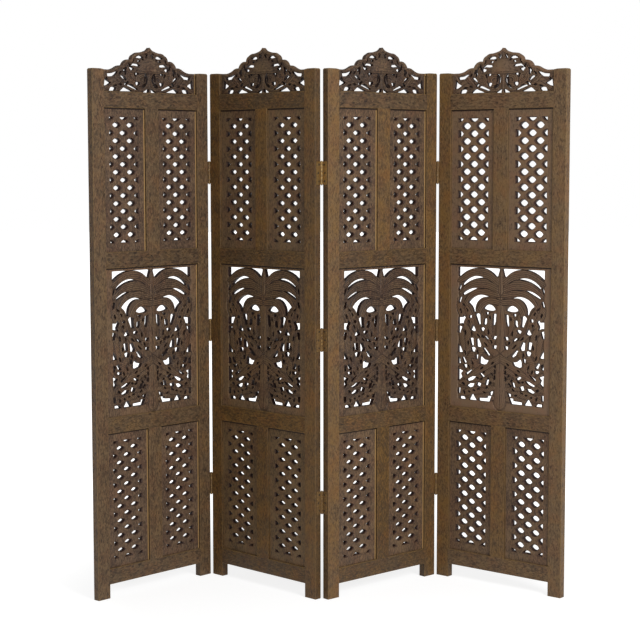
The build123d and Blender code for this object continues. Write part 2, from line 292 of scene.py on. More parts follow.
    # Dust and glaze in the hollows and on the walls, with painted shade there
    dust_and_shade = add(tree, "ShaderNodeMath", {0: hollow, 1: 0.9}, operation="MULTIPLY", use_clamp=True)
    layers.append((dust_and_shade.outputs[0], linear(shade), "MIX"))
    colour = stain.outputs[0]
    for share, tint, blend in layers:
        colour = add(tree, "ShaderNodeMix", {"Factor": share, "A": colour, "B": tint}, data_type="RGBA",
                     blend_type=blend).outputs["Result"]

    # The chips are hollows a few tenths of a millimetre deep; the grain lines are much finer
    chip_bump = add(tree, "ShaderNodeBump", {"Height": chips.outputs["Distance"], "Distance": chip_depth * MM,
                                             "Strength": 0.9 * chip_share})
    grain_bump = add(tree, "ShaderNodeBump", {"Height": grain.outputs["Fac"], "Strength": 0.35,
                                              "Distance": 0.15 * MM, "Normal": chip_bump.outputs[0]})
    rough = add(tree, "ShaderNodeMapRange", {"Value": fleck.outputs["Fac"], "To Min": 0.5, "To Max": 0.72})
    shader = add(tree, "ShaderNodeBsdfPrincipled", {"Base Color": colour, "Roughness": rough.outputs[0],
                                                    "Normal": grain_bump.outputs[0], "IOR": 1.45})
    tree.links.new(shader.outputs[0], out.inputs[0])
    return material


def hinge_metal(name, bright, patina, share, stained):
    """Rolled metal that has browned, in blotches of bright and patina.

    share is how much of it is patina, and stained how far that hides the metal under wood stain.
    """
    material, tree, out = new_material(name)
    place = add(tree, "ShaderNodeTexCoord").outputs["Object"]
    blotch_size, blotch_edge = 0.006, 0.12
    blotch = add(tree, "ShaderNodeTexNoise", {"Vector": place, "Scale": 1 / blotch_size, "Detail": 4.0,
                                              "Roughness": 0.6})
    cover = add(tree, "ShaderNodeMapRange", {"Value": blotch.outputs["Fac"], "From Min": share - blotch_edge,
                                             "From Max": share + blotch_edge, "To Min": 1.0, "To Max": 0.0})
    colour = add(tree, "ShaderNodeMix", {"Factor": cover.outputs[0], "A": linear(bright),
                                         "B": linear(patina)}, data_type="RGBA")
    metal = add(tree, "ShaderNodeMapRange", {"Value": cover.outputs[0], "To Min": 1.0,
                                             "To Max": 1.0 - stained})
    rough = add(tree, "ShaderNodeMapRange", {"Value": cover.outputs[0], "To Min": 0.34, "To Max": 0.62})
    # Pits and drips of old stain, up to a tenth of a millimetre high
    bump = add(tree, "ShaderNodeBump", {"Height": blotch.outputs["Fac"], "Strength": 0.5,
                                        "Distance": 0.1 * MM})
    shader = add(tree, "ShaderNodeBsdfPrincipled", {"Base Color": colour.outputs["Result"],
                                                    "Metallic": metal.outputs[0],
                                                    "Roughness": rough.outputs[0],
                                                    "Normal": bump.outputs[0]})
    tree.links.new(shader.outputs[0], out.inputs[0])
    return material


def studio_white(name):
    """White vinyl floor roll: pure white to the camera, with a trace of the shadow kept."""
    material, tree, out = new_material(name)
    rays = add(tree, "ShaderNodeLightPath").outputs
    seen = rays["Is Camera Ray"]
    for ray in ("Is Glossy Ray", "Is Transmission Ray"):
        seen = add(tree, "ShaderNodeMath", {0: seen, 1: rays[ray]}, operation="MAXIMUM").outputs[0]
    # The shadow shows near the screen only: the glow takes over from 0.7 to 1.9 m away
    spot = add(tree, "ShaderNodeTexCoord")
    reach = add(tree, "ShaderNodeVectorMath", {0: spot.outputs["Object"]}, operation="LENGTH")
    share = add(tree, "ShaderNodeMapRange", {"Value": reach.outputs["Value"], "From Min": 0.7,
                                             "From Max": 1.9, "To Min": 0.58, "To Max": 1.0})
    share = add(tree, "ShaderNodeMath", {0: seen, 1: share.outputs[0]}, operation="MULTIPLY")
    sheet = add(tree, "ShaderNodeBsdfDiffuse", {"Color": linear("#f4f4f4")})
    # Above 1, so that the mix with the lit sheet is white out of the shadow
    glow = add(tree, "ShaderNodeEmission", {"Color": grey(1.0), "Strength": 1.36})
    mix = add(tree, "ShaderNodeMixShader", {0: share.outputs[0], 1: sheet.outputs[0], 2: glow.outputs[0]})
    tree.links.new(mix.outputs[0], out.inputs[0])
    return material


def light_world(level):
    """White room all round: pure white where seen, and a level ambient light on the object."""
    world = bpy.data.worlds.new("white_room")
    bpy.context.scene.world = world
    world.use_nodes = True
    tree = world.node_tree
    tree.nodes.clear()
    rays = add(tree, "ShaderNodeLightPath")
    strength = add(tree, "ShaderNodeMapRange", {"Value": rays.outputs["Is Camera Ray"], "To Min": level,
                                                "To Max": 1.0})
    back = add(tree, "ShaderNodeBackground", {"Color": grey(1.0), "Strength": strength.outputs[0]})
    out = add(tree, "ShaderNodeOutputWorld")
    tree.links.new(back.outputs[0], out.inputs[0])


# ---------------------------------------------------------------- setting pieces down

def turned(x, y, heading):
    """Matrix from millimetres about a spot on the floor, turned by a heading, to metres."""
    return (Matrix.Translation((x * MM, y * MM, 0)) @ Matrix.Rotation(radians(heading), 4, "Z")
            @ Matrix.Scale(MM, 4))


def about_joint(joint, panel):
    """Matrix from millimetres about a joint's axis, turned as that panel is, to metres."""
    x, y, _ = joint_spots[joint - 1]
    return turned(x, y, panel_stands[panel][2])


def set_down(name, bm, matrix, body, material, nodes=()):
    """Make a finished piece of a bmesh that is in a panel's own millimetres."""
    mesh = bpy.data.meshes.new(name)
    bm.to_mesh(mesh)
    mesh.transform(matrix)
    mesh.materials.append(material)
    piece = bpy.data.objects.new(name, mesh)
    bpy.context.scene.collection.objects.link(piece)
    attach(piece, body)
    if nodes:
        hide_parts(*nodes)
    return piece


def mark_grain(bm, run, seed, cast):
    """Give every point its place in the wood: the grain runs along z, and no two pieces match.

    cast is how light and how golden this piece is made: its stain, and on some pieces painted light.
    """
    layer = bm.verts.layers.float_vector.new("grain_place")
    stain = bm.verts.layers.float_vector.new("stain_and_light_cast")
    draw = random.Random(seed)
    shift = Vector((draw.uniform(-9, 9), draw.uniform(-9, 9), draw.uniform(-9, 9)))
    for v in bm.verts:
        x, y, z = v.co * MM
        v[layer] = (Vector((x, y, z)) if run == "z" else Vector((z, y, x))) + shift
        v[stain] = (cast[0], cast[1], 0)


def mark_bay(bm, sides, bay):
    """Give every point its distance in metres from its bay's left, right and top edges."""
    layer = bm.verts.layers.float_vector.new("bay_place")
    for v in bm.verts:
        left, right = sides(v.co)
        v[layer] = ((v.co.x - left) * MM, (right - v.co.x) * MM, (bay[1] - v.co.z) * MM)


# ---------------------------------------------------------------- small mesh jobs

def everything(bm):
    """All of a bmesh, as the operators want it."""
    return bm.verts[:] + bm.edges[:] + bm.faces[:]


def of_kind(kind, items):
    """The points, edges or faces among what an operator gives back."""
    return [item for item in items if isinstance(item, kind)]


def ease(bm, edges, width, segments=2):
    """Round edges off."""
    bmesh.ops.bevel(bm, geom=edges, offset=width, offset_type="OFFSET", segments=segments, profile=0.5,
                    affect="EDGES", material=-1)


def take_in(bm, part):
    """Move a part's mesh into another bmesh."""
    mesh = bpy.data.meshes.new("part")
    part.to_mesh(mesh)
    part.free()
    bm.from_mesh(mesh)
    bpy.data.meshes.remove(mesh)


# ---------------------------------------------------------------- frame members

def cut_off(bm, point, normal):
    """Saw off what lies beyond a plane, and close the cut."""
    sawn = bmesh.ops.bisect_plane(bm, geom=everything(bm), plane_co=point, plane_no=normal, clear_outer=True)
    bmesh.ops.edgenet_fill(bm, edges=of_kind(bmesh.types.BMEdge, sawn["geom_cut"]))


def timber(low, high):
    """Squared timber between two corners."""
    bm = bmesh.new()
    size = Vector(high) - Vector(low)
    middle = (Vector(high) + Vector(low)) / 2
    bmesh.ops.create_cube(bm, size=1.0, matrix=Matrix.Translation(middle) @ Matrix.Diagonal((*size, 1.0)))
    return bm


def mark_across(bm, run, places):
    """Lines across a timber, so that what lies between them can differ."""
    way = Vector((1, 0, 0)) if run == "x" else Vector((0, 0, 1))
    for place in places:
        bmesh.ops.bisect_plane(bm, geom=everything(bm), plane_co=way * place, plane_no=way)


def finish_timber(bm, run, seed, joined, painted_light_and_glaze, free, cast):
    """Ease the arrises that nothing joins, and let the faces waver as hand-planed ones do.

    joined tells from an edge's middle and direction whether another timber meets it there,
    painted_light_and_glaze from a face's normal and middle how light or dark the face is made, as glaze,
    painted highlight and painted shade, and free from a point whether the side there may waver too.
    """
    sharp = [e for e in bm.edges if e.calc_face_angle(0) > radians(25)
             and not joined((e.verts[0].co + e.verts[1].co) / 2, e.verts[1].co - e.verts[0].co)]
    ease(bm, sharp, arris_width)
    arris = bm.faces.layers.float.new("arris")
    hollow = bm.faces.layers.float.new("hollow")
    for face in bm.faces:
        slanted = face.normal.length and max(abs(c) for c in face.normal) < 0.985
        face[arris] = arris_wear if slanted else 0.0
    places = [v.co.x if run == "x" else v.co.z for v in bm.verts]
    start, stop = min(places), max(places)
    lengths = max(2, ceil((stop - start) / waver_pitch))
    mark_across(bm, run, [start + (stop - start) * i / lengths for i in range(1, lengths)])
    bm.normal_update()
    for face in bm.faces:
        # Rail tops get a painted highlight; walls get glaze with painted shade
        wear_glaze_and_painted_light = painted_light_and_glaze(face.normal, face.calc_center_median())
        if wear_glaze_and_painted_light:
            face[arris], face[hollow] = max(wear_glaze_and_painted_light, 0.0), max(-wear_glaze_and_painted_light, 0.0)
    for v in bm.verts:
        spot = v.co * waver_rate + Vector((seed * 3.1, 0, 0))
        way = Vector((v.normal.x if free(v.co) else 0, v.normal.y, 0))
        v.co -= way * (waver_depth + waver_depth * noise.noise(spot))
    mark_grain(bm, run, seed, cast)
    return bm


def stile(side, hinged, seed, cast):
    """Upright with its foot, bevelled at its outer top corner and falling to the crest's shoulder."""
    bm = timber((0, 0, 0), (stile_width, frame_thickness, stile_height))
    cut_off(bm, (0, 0, stile_height - stile_corner), (-1, 0, 1))
    drop = stile_height - shoulder_height
    cut_off(bm, (stile_width, 0, shoulder_height), (drop, 0, shoulder_run))
    if side == "right":
        bmesh.ops.scale(bm, vec=(-1, 1, 1), verts=bm.verts)
        bmesh.ops.translate(bm, vec=(panel_width, 0, 0), verts=bm.verts)
        bmesh.ops.reverse_faces(bm, faces=bm.faces)
    inner = stile_width if side == "left" else panel_width - stile_width
    rails = [(base, base + rail_height) for base in rail_bases.values()]
    mark_across(bm, "z", [z for rail in rails for z in rail])
    rails.append((shoulder_height - 1, stile_height))

    def joined(middle, way):
        return abs(middle.x - inner) < 1 and any(low < middle.z < high for low, high in rails)

    # Painted shade, with the brushes' glaze, on the walls of the bays and, on hinged stiles, on the sides
    # between the panels
    def painted_light_and_glaze(normal, c):
        walled = abs(c.x - inner) < 2 or hinged
        return wall_glaze_and_shade if abs(normal.x) > 0.9 and walled else 0.0

    return finish_timber(bm, "z", seed, joined, painted_light_and_glaze, lambda c: abs(c.x - inner) > 5, cast)


def rail(name, seed, cast):
    """Rail that ends in the stiles, its corners sharp where a stile or a mullion meets it."""
    base = rail_bases[name]
    right = panel_width - stile_width + tenon
    bm = timber((stile_width - tenon, 0, base), (right, frame_thickness, base + rail_height))
    left = stile_width + bay_width
    mark_across(bm, "x", (left, left + mullion_width))
    met = base + mullion_edges[name] * rail_height

    def joined(middle, way):
        return abs(way.x) < 1 or (left < middle.x < left + mullion_width and abs(middle.z - met) < 1)

    # Painted highlight on the rail's top, where light from above falls
    return finish_timber(bm, "x", seed, joined, lambda normal, c: rail_top_highlight * (normal.z > 0.9),
                         lambda c: False, cast)


def mullion(bay, seed, cast):
    """Short upright that halves a bay."""
    left = stile_width + bay_width
    bm = timber((left, 0, bay[0] - tenon), (left + mullion_width, frame_thickness, bay[1] + tenon))
    # Painted shade, with glaze, on the mullion's side walls
    return finish_timber(bm, "z", seed, lambda middle, way: abs(way.z) < 1,
                         lambda normal, c: wall_glaze_and_shade * (abs(normal.x) > 0.9),
                         lambda c: bay[0] + 5 < c.z < bay[1] - 5, cast)


# ---------------------------------------------------------------- drawing in the panel's plane

def through(start, via, end, step):
    """Points of the arc from start through via to end, after start, a step apart at most."""
    (ax, ay), (bx, by), (cx, cy) = start, via, end
    twice = 2 * (ax * (by - cy) + bx * (cy - ay) + cx * (ay - by))
    a2, b2, c2 = ax * ax + ay * ay, bx * bx + by * by, cx * cx + cy * cy
    x = (a2 * (by - cy) + b2 * (cy - ay) + c2 * (ay - by)) / twice
    y = (a2 * (cx - bx) + b2 * (ax - cx) + c2 * (bx - ax)) / twice
    radius = hypot(ax - x, ay - y)
    first = atan2(ay - y, ax - x)
    turn = atan2(cy - y, cx - x) - first
    if twice > 0 and turn < 0:
        turn += 2 * pi
    if twice < 0 and turn > 0:
        turn -= 2 * pi
    count = max(2, ceil(abs(turn) * radius / step))
    angles = [first + turn * (i + 1) / count for i in range(count - 1)]
    return [(x + radius * cos(angle), y + radius * sin(angle)) for angle in angles] + [end]


def traced(path, step):
    """Closed run of points round a drawn path; a pair of points is an arc."""
    points = [path[0]]
    for part in path[1:]:
        if isinstance(part[0], tuple):
            points += through(points[-1], part[0], part[1], step)
        else:
            points.append(part)
    if points[-1] == points[0]:
        points.pop()
    return points


def eased(points, cut):
    """Round each corner of a closed run off by a short chamfer, as a fretsaw turns it."""
    made = []
    count = len(points)
    for i, (x, y) in enumerate(points):
        for j in (i - 1, (i + 1) % count):
            px, py = points[j]
            length = hypot(px - x, py - y)
            share = min(0.3, cut / max(length, 1e-6))
            made.append((x + (px - x) * share, y + (py - y) * share))
    return made


# ---------------------------------------------------------------- lattice boards

def lattice_cell(x, z, a, b, left, right, low, high):
    """A diamond with full sides, 2 a wide and 2 b high, cut short where it meets the border."""
    # One quarter, from the side tip to the upper cusp, as shares of the half widths
    quarter = [(1.06, 0.0), (0.93, 0.24), (0.78, 0.49), (0.58, 0.72), (0.36, 0.88), (0.16, 0.96), (0.0, 0.98)]
    run = [(a * p, b * q) for p, q in quarter]
    run += [(-p, q) for p, q in reversed(run[:-1])]
    run += [(p, -q) for p, q in reversed(run[1:-1])]
    ring = [(x + p, z + q) for p, q in run]
    for axis, bound, sign in ((0, left, -1), (0, right, 1), (1, low, -1), (1, high, 1)):
        kept = []
        for i, point in enumerate(ring):
            before = ring[i - 1]
            inside = (point[axis] - bound) * sign < 1e-6
            was = (before[axis] - bound) * sign < 1e-6
            if inside != was:
                share = (bound - before[axis]) / (point[axis] - before[axis])
                kept.append(tuple(before[k] + (point[k] - before[k]) * share for k in (0, 1)))
            if inside:
                kept.append(point)
        ring = kept
    return [p for i, p in enumerate(ring) if hypot(p[0] - ring[i - 1][0], p[1] - ring[i - 1][1]) > 0.4]


def lattice_cells(left, bay, share_x, share_z):
    """The holes of one board: rows of two, and between them rows of three that the borders cut."""
    x0, x1 = left + lattice_side_border, left + bay_width - lattice_side_border
    z0, z1 = bay[0] + lattice_end_border, bay[1] - lattice_end_border
    pitch_x, pitch_z = (x1 - x0) / 2, (z1 - z0) / lattice_rows
    a, b = share_x * pitch_x / 2, share_z * pitch_z / 2
    cells = []
    for first, rows, columns in ((0.5, lattice_rows, 2), (0, lattice_rows + 1, 3)):
        for row in range(rows):
            for column in range(columns):
                x, z = x0 + (column + first) * pitch_x, z0 + (row + first) * pitch_z
                cells.append(lattice_cell(x, z, a, b, x0, x1, z0, z1))
    return cells


def pierced(outline, holes, splay):
    """Board cut from flat curves, its holes splayed towards the front, in the panel's frame."""
    curve = bpy.data.curves.new("template", "CURVE")
    curve.dimensions = "2D"
    curve.fill_mode = "BOTH"
    curve.extrude = (board_back - board_front) / 2
    curve.bevel_depth = splay
    curve.bevel_resolution = 0
    curve.offset = -splay
    for run in [outline] + holes:
        spline = curve.splines.new("POLY")
        spline.points.add(len(run) - 1)
        for point, (x, z) in zip(spline.points, run):
            point.co = (x, z, 0, 1)
        spline.use_cyclic_u = True
    holder = bpy.data.objects.new("template", curve)
    bpy.context.scene.collection.objects.link(holder)
    mesh = bpy.data.meshes.new_from_object(holder.evaluated_get(bpy.context.evaluated_depsgraph_get()))
    bm = bmesh.new()
    bm.from_mesh(mesh)
    bpy.data.objects.remove(holder)
    bpy.data.curves.remove(curve)
    bpy.data.meshes.remove(mesh)
    depth = (board_front + board_back) / 2 + splay
    upright = Matrix(((1, 0, 0, 0), (0, 0, 1, depth), (0, 1, 0, 0), (0, 0, 0, 1)))
    bmesh.ops.transform(bm, matrix=upright, verts=bm.verts)
    bmesh.ops.remove_doubles(bm, verts=bm.verts, dist=0.01)
    # The narrow part runs straight to the back, so the back's own splay is cut away
    sawn = bmesh.ops.bisect_plane(bm, geom=everything(bm), plane_co=(0, board_back, 0), plane_no=(0, 1, 0),
                                  clear_outer=True)
    bmesh.ops.triangle_fill(bm, use_beauty=True, use_dissolve=False,
                            edges=of_kind(bmesh.types.BMEdge, sawn["geom_cut"]))
    for v in bm.verts:
        if abs(v.co.y - board_front - splay) < 0.01:
            v.co.y = board_front + splay_depth * splay
    bmesh.ops.recalc_face_normals(bm, faces=bm.faces)
    return bm


def rectangle(x0, x1, z0, z1):
    """Corners of a rectangle, in order round it."""
    return [(x0, z0), (x1, z0), (x1, z1), (x0, z1)]


def lattice_board(left, bay, cut):
    """One board that starts at left, its edges run on into the grooves."""
    outline = rectangle(left - board_tuck, left + bay_width + board_tuck,
                        bay[0] - board_tuck, bay[1] + board_tuck)
    return pierced(outline, lattice_cells(left, bay, *cut), lattice_splay)


def lattice_pair(bay, cut, seed, cast):
    """The two boards of a bay, left and right of its mullion."""
    bm = bmesh.new()
    lefts = (stile_width, stile_width + bay_width + mullion_width)
    for left in lefts:
        take_in(bm, lattice_board(left, bay, cut))
    bm.normal_update()
    # The holes' straight walls show the saw's cut, and their splays most of it; the boards' near black colour
    # for that cut holds painted shade too
    sawn = bm.faces.layers.float.new("sawn")
    for face in bm.faces:
        flat = abs(face.normal.y)
        face[sawn] = 1.0 if flat < 0.1 else 0.75 if flat < 0.95 else 0.0
    edges = [(left, left + bay_width) for left in lefts]
    mark_bay(bm, lambda c: edges[c.x > mid], bay)
    mark_grain(bm, "z", seed, cast)
    return bm


# ---------------------------------------------------------------- carved boards

# Right half of the palm's piercings, from the trunk's middle and the middle of the field
palm_half_width = 174.0
palm_top, palm_foot = 231.0, -227.0
palm_centre = 860.0
palm_holes = [
    # sky over the crown
    [(91, 231), (174, 231), (174, 199), (169, 197), ((140, 218), (91, 231))],
    [(5, 228), (8, 231), (88, 231), ((44, 220), (20, 201)), (12, 205)],
    # slits between the fronds
    [(70, 198), ((124, 197), (159, 171)), (154, 166), ((118, 188), (70, 198))],
    [(96, 161), ((130, 156), (159, 139)), (155, 133), ((128, 146), (96, 161))],
    [(161, 175), (168, 170), (174, 158), (174, 148), (167, 153), (163, 163)],
    [(160, 128), (169, 127), (174, 114), (174, 103), (165, 109)],
    # under the crown
    [(44, 131), ((92, 137), (135, 109)), ((120, 97), (112, 78)), (103, 79), ((96, 112), (44, 131))],
    [(21, 90), ((46, 107), (71, 92)), ((46, 86), (21, 90))],
    [(18, 77), (32, 75), (34, 38), (25, 35), (20, 50)],
    [(84, 73), (97, 76), (105, 68), (91, 35), (81, 38)],
    [(55, 59), (68, 58), (71, 38), (62, 34), (55, 44)],
    [(49, 81), (62, 80), (60, 72), (51, 71)],
    [(117, 66), (130, 66), (131, 57), (119, 55)],
    [(143, 58), (154, 68), (158, 57), (174, 58), (174, 33), (162, 37), (149, 27), (152, 42)],
    [(112, 38), (124, 15), (110, 10), (100, 15)],
    [(63, 24), (70, 29), (84, 24), (79, 13), (69, 16)],
    [(158, 25), (174, 29), (174, 1), (165, 3)],
    [(14, 1), (30, 0), (33, -10), (19, -11)],
    [(48, -11), (61, 1), (68, -3), (54, -15)],
    [(14, -31), (31, -32), (31, -43), (18, -43)],
    [(88, -11), (100, -15), (98, -41), (80, -43), (77, -34)],
    [(110, -11), (128, -12), (126, -20), (121, -38), (108, -37)],
    [(100, -45), (111, -41), (123, -46), (118, -59), (104, -59)],
    [(174, -33), (174, -65), (154, -63), (163, -46)],
    [(63, -41), (73, -44), (51, -70), (42, -65)],
    # undergrowth
    [(47, -84), (62, -83), (80, -69), (85, -78), (86, -98), (70, -101), (54, -96)],
    [(89, -66), (102, -70), (101, -84), (92, -83)],
    [(137, -97), (150, -78), (159, -82), (150, -101)],
    [(174, -77), (174, -105), (162, -101)],
    [(136, -104), (154, -107), (148, -118), (136, -115)],
    [(114, -121), (124, -123), (144, -136), (138, -143)],
    [(174, -111), (168, -122), (152, -128), (161, -137), (156, -149), (174, -165)],
    [(62, -140), (76, -129), (86, -133), (72, -146)],
    [(97, -143), (118, -145), (139, -156), (134, -163), (111, -156)],
    [(104, -168), (126, -169), (139, -179), (128, -185), (110, -179)],
    [(76, -166), (94, -161), (98, -174), (83, -180)],
    [(44, -150), (58, -153), (63, -171), (50, -169)],
    [(28, -189), (44, -193), (43, -205), (33, -203)],
    [(34, -206), (54, -207), (55, -215), (89, -217), (88, -227), (44, -227)],
    [(111, -203), (118, -207), (129, -227), (95, -227)],
    [(140, -227), (147, -217), (167, -217), (167, -227)],
    [(163, -188), (174, -187), (174, -209), (165, -207)],
]

# Leaves of the palm, right half: points along the midrib, half widths at the root, belly and tip,
# how deep the belly lies below the board's face, and how its veins are cut
palm_leaves = [
    # trunk
    ([(0, -227), (0, -120), (0, 0), (0, 150)], (27, 20, 16), 0.2, "bark"),
    # undergrowth
    ([(30, -212), (76, -206), (120, -204), (168, -196)], (9, 17, 10), 0.9, "hatch"),
    ([(26, -178), (70, -186), (118, -196), (166, -210)], (7, 15, 6), 0.6, "hatch"),
    ([(168, -172), (130, -166), (90, -166), (44, -176)], (6, 14, 6), 0.5, "hatch"),
    ([(24, -152), (60, -152), (100, -160), (130, -172)], (7, 13, 5), 0.3, "hatch"),
    ([(166, -122), (150, -136), (120, -150), (84, -154)], (9, 14, 5), 0.6, "hatch"),
    ([(24, -114), (56, -124), (84, -140), (112, -146)], (9, 13, 6), 0.5, "hatch"),
    ([(170, -70), (150, -84), (134, -108), (104, -128)], (9, 17, 7), 0.7, "hatch"),
    ([(92, -48), (112, -74), (124, -94), (128, -124)], (9, 20, 8), 0.4, "hatch"),
    ([(60, -108), (80, -110), (102, -104), (112, -86)], (7, 13, 6), 0.2, "hatch"),
    # leaves that hang at the side
    ([(170, 118), (164, 84), (142, 56), (122, 28)], (9, 16, 8), 0.9, "hatch"),
    ([(170, 12), (156, -6), (148, -40), (144, -76)], (9, 16, 8), 0.8, "hatch"),
    ([(140, 92), (126, 64), (118, 36), (104, 6)], (9, 15, 7), 0.7, "hatch"),
    ([(150, 34), (136, 12), (132, -18), (134, -52)], (8, 15, 7), 0.5, "hatch"),
    ([(112, 30), (104, 0), (106, -30), (100, -62)], (7, 13, 6), 0.4, "hatch"),
    ([(84, -18), (76, -46), (92, -70), (100, -92)], (8, 13, 6), 0.6, "hatch"),
    ([(22, 84), (44, 62), (46, 30), (38, 2)], (7, 13, 7), 0.9, "hatch"),
    ([(80, 78), (72, 50), (62, 24), (40, -4)], (8, 12, 7), 0.7, "hatch"),
    ([(22, -6), (40, -22), (44, -40), (30, -56)], (8, 15, 7), 0.5, "hatch"),
    # the pair that crosses the trunk
    ([(-60, -104), (0, -72), (52, -34), (104, 10), (126, 44)], (8, 14, 6), 0.1, "hatch"),
    ([(-60, -30), (0, -72), (50, -100), (96, -128), (132, -150)], (8, 14, 6), 0.3, "hatch"),
    # fronds, the lowest first
    ([(6, 116), (44, 119), (76, 102), (92, 70), (84, 40)], (9, 14, 4), 0.8, "comb"),
    ([(4, 142), (60, 150), (116, 136), (152, 92)], (10, 16, 4), 0.6, "comb"),
    ([(4, 161), (60, 178), (118, 171), (168, 140)], (12, 17, 5), 0.4, "comb"),
    ([(4, 180), (50, 209), (112, 211), (174, 182)], (12, 18, 6), 0.2, "comb"),
    ([(0, 150), (0, 180), (0, 226)], (10, 9, 2), 0.0, "vein"),
]

# Pits between the leaves: the middle, length, width and lean of each
palm_pits = [
    (21, -104, 9, 6, 90), (21, -121, 11, 6, 80), (22, -142, 12, 6, 100), (34, -131, 9, 5, 60),
    (40, -162, 12, 6, -50), (54, -178, 10, 5, -40), (47, -147, 8, 5, 30), (76, -150, 8, 5, -20),
    (66, -126, 9, 5, -30), (92, -148, 8, 4, 10), (88, -186, 10, 4, -20), (64, -196, 9, 4, 10),
    (106, -192, 8, 4, 0), (150, -172, 10, 6, 30), (146, -202, 9, 5, 70), (126, -198, 7, 4, 20),
    (128, -112, 12, 5, 60), (112, -98, 12, 4, 70), (166, -88, 9, 5, 60), (144, -64, 12, 5, 70),
    (131, -30, 12, 5, 95), (143, 6, 14, 5, 80), (128, 44, 10, 5, 70), (163, 80, 12, 5, 70),
    (150, 100, 10, 4, 40), (42, 62, 9, 5, 90), (48, 12, 12, 5, 75), (72, -4, 10, 5, 45),
    (92, -58, 11, 5, 80), (36, -20, 10, 5, 60), (58, -30, 16, 4, 42), (88, -2, 14, 4, 42),
    (30, -92, 10, 4, -35), (74, -112, 12, 4, -35), (98, 60, 8, 5, 70), (110, 88, 9, 4, 120),
    (136, 84, 10, 4, 60), (60, -58, 9, 5, 30), (118, 2, 9, 4, 80), (150, -110, 8, 5, 40),
]

# Right half of the crest, from the middle of the opening and the height of the shoulders
crest_outline = [(204, 0), (176, 0), ((160, 3), (146, 9)), ((132, 15), (117, 16)), ((107, 30), (80, 36)),
                 ((76, 47), (66, 54)), ((55, 60), (42, 61.5)), ((24, 65), (12, 69)), ((5, 74), (1, 78.5)),
                 (0, 79)]
crest_holes = [
    [(26, 46), (34, 51), (48, 51), (60, 44), (50, 43), (36, 42)],
    [(38, 36), (49, 37), (52, 31), (42, 30)],
    [(41, 17), (45, 23), (70, 25), (80, 18), (86, 8), (82, 0), (71, 2), (65, 8), (77, 12), (70, 18),
     (56, 16)],
    [(5, 57), (13, 56), (20, 46), (13, 43)],
    [(100, 12), (106, 11), (111, -4), (108, -15), (102, -12)],
    [(101, -30), (106, -34), (126, -19), (120, -14), (108, -20)],
    [(47, -6), (60, -5), (61, -12), (48, -12)],
    [(20, -6), ((8, -24), (14, -42)), ((22, -52), (38, -55)), ((22, -46), (17, -30)), ((17, -16), (26, -8))],
    [(42, -37), (51, -34), (61, -37), (61, -45), (52, -50), (44, -43)],
    [(50, -60), (60, -62), (99, -49), (92, -44), (72, -50)],
    [(74, -67), (129, -68), (118, -58), (108, -53), (97, -58)],
    [(144, -58), (150, -67), (175, -68), (171, -57), (156, -54)],
    [(166, -42), (180, -35), (192, -27), (196, -53), (180, -50)],
    [(136, -4), (144, -13), (154, -20), (180, -22), (183, -13), (164, -11), (150, -6)],
    [(2, -57), (12, -59), (30, -69), (5, -70)],
    [(95, -38), (104, -38), (111, -46), (98, -46)],
]
# Leaves and stems of the crest, right half, given as the palm's are
crest_leaves = [
    # leaves that scroll away from the stem
    ([(0, -66), (40, -66), (90, -56), (140, -64)], (3, 7, 4), 0.9, "vein"),
    ([(196, -6), (188, -20), (178, -34)], (5, 7, 4), 0.9, "vein"),
    ([(192, -64), (172, -50), (146, -36), (114, -42)], (5, 15, 4), 0.5, "vein"),
    ([(188, -4), (160, -2), (136, -26), (118, -40)], (3, 9, 4), 0.3, "vein"),
    ([(120, -8), (124, 4), (114, 14), (104, 22)], (4, 9, 4), 0.6, "vein"),
    # the big volute and the small one inside it
    ([(62, -44), (88, -38), (102, -20), (92, 2), (84, 20)], (7, 17, 6), 0.3, "comb"),
    ([(92, -24), (82, -32), (70, -24), (74, -10), (86, -8)], (6, 9, 4), 0.2, "comb"),
    ([(20, -58), (40, -58), (60, -50), (70, -36)], (5, 8, 5), 0.5, "vein"),
    ([(24, -12), (42, -14), (52, -26), (42, -42), (26, -40)], (6, 12, 5), 0.2, "comb"),
    # stem
    ([(0, -66), (0, -38), (0, -8)], (7, 4, 6), 0.2, "vein"),
    # the band that the palmette sits on
    ([(-58, -3), (0, -4), (58, -3)], (4, 6, 4), 0.3, "comb"),
]
crest_pits = [
    (21, -22, 18, 6, 100), (28, -46, 14, 5, -40), (66, -12, 10, 5, 70), (88, 16, 16, 5, 75),
    (112, 2, 12, 5, 110), (128, -8, 10, 5, 140), (72, 34, 12, 5, 120), (60, 52, 12, 5, -30),
    (30, 40, 8, 4, 40), (16, 60, 8, 4, 120), (100, -40, 12, 5, -30), (80, -48, 10, 4, 20),
    (150, -50, 12, 4, -10), (186, -30, 10, 5, 80), (128, -46, 10, 4, 10),
]
rim_width = 8.0              # the plain band along the crest's scalloped edge
# Steps of the net that a carving's relief is drawn on
palm_step = 2.2
crest_step = 2.0
ground_stain_and_shade = 0.62           # dark stain on the sunk ground, with painted shade there
pit_depth = 6.5
pit_share = 0.62             # half of a pit, as a share of the length and width given for it
# Pits are painted near black: painted shade in them
pit_painted_shade = 1.3


def smooth_line(points, step):
    """Points along the curve through the given ones, about a step apart."""
    pts = [np.array(p, float) for p in points]
    pts = [2 * pts[0] - pts[1]] + pts + [2 * pts[-1] - pts[-2]]
    line = []
    for i in range(1, len(pts) - 2):
        p0, p1, p2, p3 = pts[i - 1:i + 3]
        count = max(2, ceil(np.linalg.norm(p2 - p1) / step))
        for k in range(count):
            t = k / count
            line.append(0.5 * (2 * p1 + (p2 - p0) * t + (2 * p0 - 5 * p1 + 4 * p2 - p3) * t * t
                               + (3 * p1 - p0 - 3 * p2 + p3) * t ** 3))
    line.append(pts[-2])
    return np.array(line)


